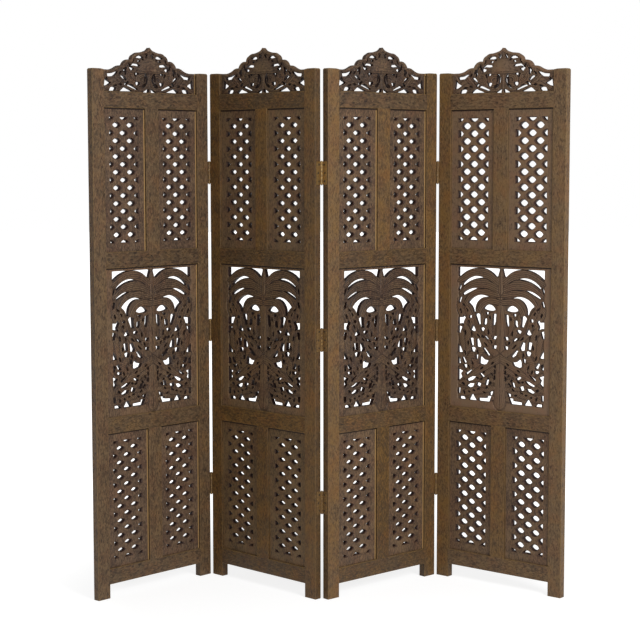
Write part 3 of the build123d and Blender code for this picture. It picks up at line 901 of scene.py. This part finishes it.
def leaf_widths(widths, share):
    """Half width along a leaf, from its root to its tip."""
    root, belly, tip = widths
    share = np.asarray(share)
    swell = np.sin(np.clip(share, 0, 1) * pi) ** 0.75
    ends = root + (tip - root) * share
    return ends + (belly - (root + tip) / 2) * swell


def along_line(line, x, z):
    """For each point, its signed distance from a line and how far along the line it lies."""
    best = np.full(x.shape, 1e9)
    side = np.zeros(x.shape)
    where = np.zeros(x.shape)
    lengths = np.hypot(*(line[1:] - line[:-1]).T)
    starts = np.concatenate([[0], np.cumsum(lengths)])
    for i, (p, q) in enumerate(zip(line[:-1], line[1:])):
        d = q - p
        t = np.clip(((x - p[0]) * d[0] + (z - p[1]) * d[1]) / (d @ d), 0, 1)
        gx, gz = x - p[0] - t * d[0], z - p[1] - t * d[1]
        distance = np.hypot(gx, gz)
        near = distance < best
        best = np.where(near, distance, best)
        side = np.where(near, np.sign(d[0] * gz - d[1] * gx) * distance, side)
        where = np.where(near, starts[i] + t * lengths[i], where)
    return side, where, starts[-1]


def notch(phase):
    """A V-cut once in every whole step of phase: 1 at its bottom, 0 between the cuts."""
    return np.clip(1 - 3.2 * np.abs((phase + 0.5) % 1 - 0.5), 0, 1)


def carve_leaves(x, z, leaves, pits, ground):
    """Depth of the carving below the board's face, and how dark it is painted there: dust and stain, with
    painted shade in the ground, the cuts, the leaves' edges and the pits.
    """
    deep = ground.copy()
    dust_and_shade = np.clip(ground / 3.2, 0, 1) * ground_stain_and_shade
    for points, widths, level, cut in leaves:
        line = smooth_line(points, 5)
        side, run, length = along_line(line, x, z)
        half = leaf_widths(widths, run / length)
        t = np.abs(side) / np.maximum(half, 0.5)
        inside = t < 1
        if cut == "comb":
            lines = np.clip(1.35 * notch(side / 6.4 + 0.5), 0, 1)
            body = level + 1.2 * t ** 3 + 0.75 * lines
        elif cut == "bark":
            lines = notch(side / 7.0 + 0.25 * np.sin(run / 9)) * 0.6
            body = level + 1.4 * t ** 2 + 0.5 * lines
        elif cut == "hatch":
            lines = notch((run - 0.8 * side) / 7.5)
            body = level + 1.2 * t ** 3 + 0.7 * lines
        else:
            lines = notch((run - 0.9 * np.abs(side)) / 6.5)
            rib = np.exp(-(side / 1.3) ** 2)
            body = level + 2.3 * t ** 3 + 0.6 * lines * (t > 0.12) + 0.7 * rib
            lines = np.maximum(lines * 0.7, rib)
        deep = np.where(inside, body, deep)
        # Painted shade, with dust, in the cuts and down the leaves' edges where they fall to the ground
        dust_and_shade = np.where(inside, 0.95 * lines + 0.7 * np.clip((t - 0.7) / 0.3, 0, 1) ** 1.5, dust_and_shade)
    for px, pz, length, width, lean in pits:
        c, s = cos(radians(lean)), sin(radians(lean))
        along, across = (x - px) * c + (z - pz) * s, (z - pz) * c - (x - px) * s
        reach = np.hypot(along / (pit_share * length), across / (pit_share * width))
        deep = np.where(reach < 1, pit_depth, deep)
        dust_and_shade = np.where(reach < 1.2, pit_painted_shade, dust_and_shade)
    return deep, dust_and_shade


def inside_run(run, x, z):
    """Which points lie inside a closed run."""
    odd = np.zeros(x.shape, bool)
    x0, z0 = run[-1]
    for x1, z1 in run:
        if z0 != z1:
            crosses = (z0 > z) != (z1 > z)
            odd ^= crosses & (x < (x1 - x0) * (z - z0) / (z1 - z0) + x0)
        x0, z0 = x1, z1
    return odd


def edge_distance(runs, x, z):
    """Distance from each point to the nearest edge of closed runs, or 9 where it is far."""
    best = np.full(x.shape, 9.0)
    for run in runs:
        ring = np.array(run)
        low, high = ring.min(0) - 9, ring.max(0) + 9
        near = np.nonzero((x > low[0]) & (x < high[0]) & (z > low[1]) & (z < high[1]))[0]
        if not len(near):
            continue
        side, _, _ = along_line(np.vstack([ring, ring[:1]]), x[near], z[near])
        best[near] = np.minimum(best[near], np.abs(side))
    return best


def spaced(candidates, gap, taken):
    """Keep each candidate that is no nearer than gap to a taken point or to one kept before it."""
    cells = {}

    def keep(p):
        # Points are held by the square that they lie in, so only nine squares are looked through
        column, row = int(p[0] // gap), int(p[1] // gap)
        around = [q for i in (-1, 0, 1) for j in (-1, 0, 1) for q in cells.get((column + i, row + j), ())]
        if any(hypot(p[0] - q[0], p[1] - q[1]) < gap for q in around):
            return False
        cells.setdefault((column, row), []).append(p)
        return True

    for p in taken:
        keep(p)
    return [p for p in candidates if keep(p)]


def split_run(run, step):
    """A closed run with its long edges divided."""
    made = []
    for i, (x, z) in enumerate(run):
        nx, nz = run[(i + 1) % len(run)]
        count = max(1, ceil(hypot(nx - x, nz - z) / step))
        made += [(x + (nx - x) * k / count, z + (nz - z) * k / count) for k in range(count)]
    return made


def within(points, outline, holes):
    """Which of the points lie on the board, outside its holes."""
    keep = inside_run(outline, points[:, 0], points[:, 1])
    for hole in holes:
        keep &= ~inside_run(hole, points[:, 0], points[:, 1])
    return keep


def flat_mesh(runs, loose, outline, holes):
    """Triangles between the closed runs: points and triples of point numbers."""
    points, edges = [], []
    for run in runs:
        first = len(points)
        points += run
        edges += [(first + i, first + (i + 1) % len(run)) for i in range(len(run))]
    points += loose
    spots, _, faces, *_ = delaunay_2d_cdt([Vector(p) for p in points], edges, [], 0, 1e-4, False)
    spots = np.array([tuple(p) for p in spots])
    faces = np.array([f for f in faces if len(f) == 3])
    return spots, faces[within(spots[faces].mean(1), outline, holes)]


def net_points(outline, holes, leaves, step):
    """Points wanted in the net, the most wanted first.

    They go round the piercings, along both sides of each leaf's edge and its midrib, and all over.
    """
    wanted = []
    for run in holes:
        for i, (x, z) in enumerate(run):
            (ax, az), (bx, bz) = run[i - 1], run[(i + 1) % len(run)]
            length = hypot(bx - ax, bz - az) or 1
            for sign in (1.3, -1.3):
                wanted.append((x + sign * (bz - az) / length, z - sign * (bx - ax) / length))
    for points, widths, _, _ in leaves:
        line = smooth_line(points, step * 1.1)
        half = leaf_widths(widths, np.linspace(0, 1, len(line)))
        way = np.gradient(line, axis=0)
        way /= np.hypot(*way.T)[:, None]
        across = np.stack([-way[:, 1], way[:, 0]], 1)
        for offset in (half - 0.3, half + 0.7, half * 0):
            for sign in (1, -1):
                wanted += [tuple(p) for p in line + sign * across * offset[:, None]]
    low, high = np.min(outline, 0), np.max(outline, 0)
    for row, z in enumerate(np.arange(low[1], high[1], step * 0.87)):
        for x in np.arange(low[0] + (row % 2) * step / 2, high[0], step):
            wanted.append((x, z))
    wanted = np.array(wanted)
    return [tuple(p) for p in wanted[within(wanted, outline, holes)]]


def close_back(bm, outline, holes):
    """Run the walls of a board's front straight to its back, and close the back."""
    hollow = bm.verts.layers.float["hollow"]
    sawn = bm.faces.layers.float["sawn"]
    # The open edges, apart from those on the middle line
    open_edges = [e for e in bm.edges if len(e.link_faces) == 1
                  and not (abs(e.verts[0].co.x) < 1e-3 and abs(e.verts[1].co.x) < 1e-3)]
    pulled = bmesh.ops.extrude_edge_only(bm, edges=open_edges)["geom"]
    backs = {}
    for v in of_kind(bmesh.types.BMVert, pulled):
        at_rim = any(abs(v.co.x - p[0]) < 0.02 and abs(v.co.z - p[1]) < 0.02 for p in outline)
        v.co.y = board_back if at_rim else thinned_back
        v[hollow] = 0
        backs[(round(v.co.x, 2), round(v.co.z, 2))] = v
    # Piercings show the saw's dark cut, its near black colour holding painted shade too; the outline was
    # stained like the face
    for face in of_kind(bmesh.types.BMFace, pulled):
        face[sawn] = 0.1 if max(v.co.y for v in face.verts) > board_back - 0.1 else 1.0
    spots, faces = flat_mesh(holes + [outline], [], outline, holes)

    def back_point(i):
        x, z = spots[i]
        key = (round(x, 2), round(z, 2))
        if key not in backs:
            backs[key] = bm.verts.new((x, thinned_back, z))
        return backs[key]

    for f in faces:
        corners = [back_point(i) for i in f]
        if len(set(corners)) == 3:
            bm.faces.new(corners)


def carved_half(outline, holes, leaves, pits, ground, step, rim=None):
    """Right half of a carved and pierced board: relief in front, flat behind, in board coordinates.

    Carving has no operator: the front is a fine net of points, closest along the leaves' edges
    and round the piercings, and each point is sunk by the depth of the carving there.
    """
    holes = [split_run(eased(traced(h, 4.0), 1.2), 3.0) for h in holes]
    outline = split_run(outline, 4.0)
    rims = [p for run in holes + [outline] for p in run]
    loose = spaced(net_points(outline, holes, leaves, step), step * 0.62, rims)
    spots, faces = flat_mesh(holes + [outline], loose, outline, holes)
    x, z = spots[:, 0], spots[:, 1]
    deep, dust_and_shade = carve_leaves(x, z, leaves, pits, ground(x, z))
    # The piercings' arrises are rubbed round
    gap = edge_distance(holes, x, z)
    deep = deep + 0.9 * np.exp(-(gap / 0.9) ** 2)
    if rim is not None:
        deep, dust_and_shade = rim(x, z, deep, dust_and_shade)
    bm = bmesh.new()
    hollow = bm.verts.layers.float.new("hollow")
    bm.faces.layers.float.new("sawn")
    front = [bm.verts.new((px, board_front + d, pz)) for px, pz, d in zip(x, z, deep)]
    for v, value in zip(front, dust_and_shade):
        v[hollow] = value
    for f in faces:
        bm.faces.new([front[i] for i in f])
    bmesh.ops.delete(bm, geom=[v for v in bm.verts if not v.link_faces], context="VERTS")
    bmesh.ops.recalc_face_normals(bm, faces=bm.faces)
    close_back(bm, outline, holes)
    return bm


def whole_board(bm, to_board):
    """Both halves of a carved board, mirrored about the middle line, in the panel's frame."""
    for v in bm.verts:
        if abs(v.co.x) < 1e-3:
            v.co.x = 0
    copied = bmesh.ops.duplicate(bm, geom=everything(bm))
    bmesh.ops.scale(bm, vec=(-1, 1, 1), verts=of_kind(bmesh.types.BMVert, copied["geom"]))
    middle = [v for v in bm.verts if v.co.x == 0]
    bmesh.ops.remove_doubles(bm, verts=middle, dist=1e-3)
    for v in bm.verts:
        v.co.x, v.co.z = to_board(v.co.x, v.co.z)
    bmesh.ops.recalc_face_normals(bm, faces=bm.faces)
    return bm


def stipple(x, z):
    """Punch marks on the sunk ground, a third of a millimetre high and low."""
    return 0.35 * np.sin(x * 1.9 + 2 * np.sin(z * 0.7)) * np.sin(z * 1.7 + 2 * np.sin(x * 0.8))


def palm_ground(x, z):
    """Ground behind the leaves: sunk inside the field, and level with the face round it."""
    within_height = np.minimum(palm_top - z, z - palm_foot)
    inside = np.clip(np.minimum(palm_half_width - np.abs(x), within_height) / 1.5, 0, 1)
    return inside * (2.6 + stipple(x, z))


def crest_ground(x, z):
    """Ground behind the scrolls: sunk from just above the top rail."""
    return np.clip((z + crest_depth) / 1.5, 0, 1) * (2.4 + stipple(x, z))


def crest_rim(x, z, deep, dust_and_shade):
    """Domed shell with fine rays, and a plain band along the scalloped top edge, rounded over."""
    reach = np.hypot(x / 50, (z + 2) / 46)
    shell = (reach < 1) & (z > -1)
    rays = notch(np.arctan2(x, z + 14) * 11) * np.clip(reach * 2 - 0.4, 0, 1)
    deep = np.where(shell, 0.1 + 2.2 * reach ** 4 + 0.35 * rays, deep)
    # Painted shade, with dust, in the rays and at the shell's edge
    dust_and_shade = np.where(shell, 0.25 * rays + 0.5 * reach ** 8, dust_and_shade)
    top = traced(crest_outline, 3.0)
    side, _, _ = along_line(np.array(top), x, z)
    gap = np.abs(side)
    band = 0.15 + 0.9 * ((gap - rim_width / 2) / (rim_width / 2)) ** 4
    inside = gap < rim_width
    # The band darkens away from the top edge, where it meets the carving: dust with painted shade
    return np.where(inside, band, deep), np.where(inside, 0.2 * np.clip(gap / rim_width, 0, 1) ** 4, dust_and_shade)


def palm_board():
    """The palm's board, from its middle line and the middle of the field, then in the panel."""
    low, high = palm_bay[0] - board_tuck - palm_centre, palm_bay[1] + board_tuck - palm_centre
    outline = rectangle(0, opening_width / 2 + board_tuck, low, high)
    bm = carved_half(outline, palm_holes, palm_leaves, palm_pits, palm_ground, palm_step)
    return whole_board(bm, lambda x, z: (mid + x, palm_centre + z))


def crest_board():
    """The crest's board, from its middle line and the height of its shoulders, then in the panel."""
    half_width, foot = opening_width / 2 + board_tuck, -crest_depth - board_tuck
    outline = [(0, foot), (half_width, foot), (half_width, 0)] + traced(crest_outline, 3.0)
    bm = carved_half(outline, crest_holes, crest_leaves, crest_pits, crest_ground, crest_step, crest_rim)
    return whole_board(bm, lambda x, z: (mid + x, shoulder_height + z))


# ---------------------------------------------------------------- hinges

def round_bar(bm, radius, low, high, sides):
    """Upright round bar about the hinge's axis, with eased ends."""
    made = bmesh.ops.create_cone(bm, cap_ends=True, cap_tris=False, segments=sides, radius1=radius,
                                 radius2=radius, depth=high - low,
                                 matrix=Matrix.Translation((0, 0, (low + high) / 2)))
    rims = [e for e in {e for v in made["verts"] for e in v.link_edges}
            if any(len(f.verts) > 4 for f in e.link_faces)]
    ease(bm, rims, min(0.35, radius * 0.3))


def knuckle_spans(height, which):
    """Five knuckles: the odd ones on one leaf and the even ones on the other."""
    fifth = hinge_length / 5
    base = height - hinge_length / 2
    return [(base + i * fifth + knuckle_gap, base + (i + 1) * fifth - knuckle_gap) for i in which]


def leaf(bm, height, which, away, inward):
    """Butt hinge leaf about its axis: a round-cornered plate with tongues to its rolled knuckles.

    away is the way from its panel to the axis, 1 right or -1 left, and inward the way that the
    plate reaches, 1 to the back or -1 to the front.
    """
    start, reach = knuckle_proud + 0.1, knuckle_proud + hinge_leaf_depth
    inner = -away * (hinge_side - hinge_leaf_thickness)
    outer = -away * hinge_side
    middle = Vector(((inner + outer) / 2, inward * (start + reach) / 2, height))
    size = Vector((hinge_leaf_thickness, reach - start, hinge_length))
    plate = bmesh.new()
    bmesh.ops.create_cube(plate, size=1.0, matrix=Matrix.Translation(middle) @ Matrix.Diagonal((*size, 1.0)))
    corners = [e for e in plate.edges if all(abs(v.co.y - inward * reach) < 1e-4 for v in e.verts)
               and abs(e.verts[0].co.z - e.verts[1].co.z) < 1e-4]
    ease(plate, corners, corner_round, 4)
    spans = knuckle_spans(height, which)
    mark_across(plate, "z", [at for span in spans for at in span])
    for low, high in spans:
        faces = [f for f in plate.faces if abs(f.calc_center_median().y - inward * start) < 1e-3
                 and low < f.calc_center_median().z < high]
        pulled = bmesh.ops.extrude_face_region(plate, geom=faces)
        bmesh.ops.translate(plate, vec=(0, -inward * (start - web_depth), 0),
                            verts=of_kind(bmesh.types.BMVert, pulled["geom"]))
        bmesh.ops.delete(plate, geom=faces, context="FACES_ONLY")
    for low, high in spans:
        round_bar(plate, knuckle_radius, low, high, 20)
    bmesh.ops.recalc_face_normals(plate, faces=plate.faces)
    take_in(bm, plate)


def screws(bm, height, away, inward):
    """Three countersunk slotted screws, the middle one further in, their heads in the leaf's face."""
    face = -away * (hinge_side - hinge_leaf_thickness)
    for index, lift in enumerate(screw_lifts):
        across = inward * (knuckle_proud + 9.5 + (2.5 if index == 1 else -1.0))
        head = bmesh.new()
        bmesh.ops.create_cone(head, cap_ends=True, cap_tris=False, segments=18, radius1=3.3, radius2=3.6,
                              depth=0.5)
        # The slot, 0.9 mm wide
        for sign in (-1, 1):
            bmesh.ops.bisect_plane(head, geom=everything(head), plane_co=(0, sign * 0.45, 0),
                                   plane_no=(0, 1, 0))
        slot = [f for f in head.faces if f.normal.z > 0.9 and abs(f.calc_center_median().y) < 0.2]
        pulled = bmesh.ops.extrude_face_region(head, geom=slot)
        bmesh.ops.translate(head, vec=(0, 0, -0.4), verts=of_kind(bmesh.types.BMVert, pulled["geom"]))
        bmesh.ops.delete(head, geom=slot, context="FACES_ONLY")
        # No two slots of a hinge point the same way
        tilt = Matrix.Rotation(radians(37 * index + height), 4, "Z")
        turn = Matrix.Rotation(radians(90 * away), 4, "Y")
        place = Matrix.Translation((face - away * screw_sink, across, height + lift))
        bmesh.ops.transform(head, matrix=place @ turn @ tilt, verts=head.verts)
        bmesh.ops.recalc_face_normals(head, faces=head.faces)
        take_in(bm, head)


# ---------------------------------------------------------------- making the screen

add_camera()
add_softbox("key_softbox", (2.2, -3.4, 2.7), (0.1, 0, 0.9), 1.6, 1.6, 125)
add_softbox("fill_softbox", (-2.6, -4.4, 2.0), (0, 0, 0.8), 2.6, 2.6, 22)
light_world(0.34)

# The frame's stain is darker and its chips deeper than on the boards, which were planed
frame_wood = stained_wood("chipped_hardwood_brown_stain", dark="#21140a", middle="#4a3522", light="#775f42",
                          golden="#60451f", bare_and_highlight="#80653a", sawn="#4a2f1c", shade="#1c1008",
                          chip=0.0052, chip_share=0.75, chip_depth=1.1)
# The boards' light strip colour is brighter than the frame's, as painted highlight in shaded corners, and
# their sawn and shade colours are near black, holding painted shade
board_wood = stained_wood("planed_hardwood_brown_stain", dark="#2c1e15", middle="#54402f", light="#78604b",
                          golden="#5f4a30", bare_and_highlight="#a58350", sawn="#2c0f06", shade="#1e0c05",
                          chip=0.0048, chip_share=0.35, chip_depth=0.5)
stained_hinge = hinge_metal("brass_under_wood_stain", "#a08252", "#64492a", 0.55, 0.9)
bright_hinge = hinge_metal("brass_rubbed_bright", "#a98c5c", "#6f5838", 0.45, 0.5)
screw_steel = hinge_metal("screw_steel_browned", "#5e5142", "#2c2118", 0.6, 0.8)

# How light and how golden each panel is made, and the pieces that differ from it: partly the stain's
# own unevenness, partly painted light, as panel 4 and the stiles nearest the camera are made lighter
# and the stiles in the valleys between panels darker
panel_stain_and_light = {1: (-0.3, -0.2), 2: (-0.2, 0.35), 3: (-0.2, 0.1), 4: (1.1, -0.1)}
piece_stain_and_light = {
    "left_stile_1": (-0.2, -0.35), "lower_mid_rail_1": (0.3, 0.0), "palm_carving_1": (0.9, 0.0),
    "right_stile_1": (-0.6, -0.1), "top_rail_1": (-0.6, -0.3), "upper_mid_rail_1": (-0.8, -0.2),
    "upper_mullion_1": (-0.6, -0.2),
    "left_stile_2": (-0.4, 0.9), "lower_jali_boards_2": (0.0, 0.9), "lower_mid_rail_2": (1.0, 1.0),
    "lower_mullion_2": (-0.4, 0.7), "palm_carving_2": (0.6, 0.4), "palmette_crest_2": (0.2, 0.3),
    "right_stile_2": (0.1, 0.3), "upper_jali_boards_2": (0.4, 0.5), "upper_mullion_2": (0.1, 0.6),
    "bottom_rail_3": (-0.6, 0.2), "left_stile_3": (0.8, 0.2), "lower_mid_rail_3": (0.3, 0.2),
    "lower_mullion_3": (-0.9, 0.7), "palm_carving_3": (-0.3, 0.0), "palmette_crest_3": (-0.8, 0.0),
    "right_stile_3": (-0.2, 0.4), "top_rail_3": (-0.7, -0.2), "upper_mid_rail_3": (-0.4, 0.2),
    "upper_mullion_3": (0.5, 0.4),
    "left_stile_4": (0.9, 0.4), "lower_jali_boards_4": (0.2, 0.1), "lower_mullion_4": (0.9, 0.4),
    "palm_carving_4": (3.2, 0.0), "palmette_crest_4": (2.2, 0.0), "right_stile_4": (1.2, -0.1),
    "top_rail_4": (1.5, -0.2), "upper_jali_boards_4": (1.9, 0.0),
}
rail_cast = -1.0             # the rails took the stain darker than the uprights


def cast_of(name, seed):
    """Stain of a piece, with painted light on some, and a little chance in it."""
    light, gold = piece_stain_and_light.get(name, panel_stain_and_light[int(name[-1])])
    draw = random.Random(seed)
    if "rail" in name:
        light += rail_cast
    return light + draw.uniform(-0.3, 0.3), gold + draw.uniform(0.0, 0.15)


palm_mesh = palm_board()
crest_mesh = crest_board()
for panel, stand in panel_stands.items():
    place = turned(*stand)
    body = f"panel_{panel}"
    for side in ("left", "right"):
        name = f"{side}_stile_{panel}"
        seed = 11 * panel + (side == "right")
        hinged = (side, panel) not in (("left", 1), ("right", 4))
        set_down(name, stile(side, hinged, seed, cast_of(name, seed)), place, body, frame_wood,
                 [f"{body}_{side}_stile"])
    for rail_name, base in rail_bases.items():
        name = f"{rail_name}_{panel}"
        seed = 7 * panel + base
        set_down(name, rail(rail_name, seed, cast_of(name, seed)), place, body, frame_wood,
                 [f"{body}_{rail_name}"])
    for row, bay in (("lower", lower_bay), ("upper", upper_bay)):
        name = f"{row}_mullion_{panel}"
        seed = 5 * panel + bay[0]
        set_down(name, mullion(bay, seed, cast_of(name, seed)), place, body, frame_wood,
                 [f"{body}_{row}_mullion"])
        name = f"{row}_jali_boards_{panel}"
        cut = (wide_lattice_cuts if panel == wide_lattice_panel else lattice_cuts)[row]
        set_down(name, lattice_pair(bay, cut, seed, cast_of(name, seed)), place, body,
                 board_wood, [f"{body}_{row}_lattices"])
    for carving, carved, node, run, bay in (
            ("palm_carving", palm_mesh, "palm_board", "z", palm_bay),
            # The crest has no rail over it, so no painted shadow lies under its top
            ("palmette_crest", crest_mesh, "crest", "x", (shoulder_height - crest_depth, 3000.0))):
        name = f"{carving}_{panel}"
        bm = carved.copy()
        if panel != thinnest_panel:
            for v in bm.verts:
                if abs(v.co.y - thinned_back) < 0.1:
                    v.co.y = field_backs[node]
        mark_bay(bm, lambda c: (stile_width, panel_width - stile_width), bay)
        mark_grain(bm, run, 13 * panel + len(name), cast_of(name, panel))
        set_down(name, bm, place, body, board_wood, [f"{body}_{node}"])

for joint, (_, _, inward) in enumerate(joint_spots, 1):
    pair = f"{joint}_{joint + 1}"
    for side, panel, which, away in (("left", joint, (0, 2, 4), 1), ("right", joint + 1, (1, 3), -1)):
        plates = bmesh.new()
        heads = bmesh.new()
        for height in hinge_heights:
            leaf(plates, height, which, away, inward)
            screws(heads, height, away, inward)
        turn = about_joint(joint, panel)
        body = f"panel_{panel}"
        piece = set_down(f"{side}_leaves_{pair}", plates, turn, body, stained_hinge,
                         [f"hinges_{pair}_{side}_leaves"])
        if joint == bright_joint:
            piece.data.materials.append(bright_hinge)
            for polygon in piece.data.polygons:
                polygon.material_index = int(polygon.center.z > bright_above)
        set_down(f"{side}_screws_{pair}", heads, turn, body, screw_steel)
    pins = bmesh.new()
    for height in hinge_heights:
        half = hinge_length / 2
        round_bar(pins, pin_radius, height - half - pin_end, height + half + pin_end, 16)
        round_bar(pins, pin_head_radius, height + half + pin_head[0], height + half + pin_head[1], 16)
        round_bar(pins, pin_head_radius, height - half - pin_head[1], height - half - pin_head[0], 16)
    set_down(f"pins_{pair}", pins, about_joint(joint, joint), f"panel_{joint}", stained_hinge,
             [f"hinges_{pair}_pins"])

floor_shape = bmesh.new()
bmesh.ops.create_grid(floor_shape, x_segments=1, y_segments=1, size=30.0)
floor_mesh = bpy.data.meshes.new("studio_floor")
floor_shape.to_mesh(floor_mesh)
floor_mesh.materials.append(studio_white("white_studio_roll"))
floor = bpy.data.objects.new("studio_floor", floor_mesh)
bpy.context.scene.collection.objects.link(floor)

bpy.context.scene.view_settings.view_transform = "Standard"
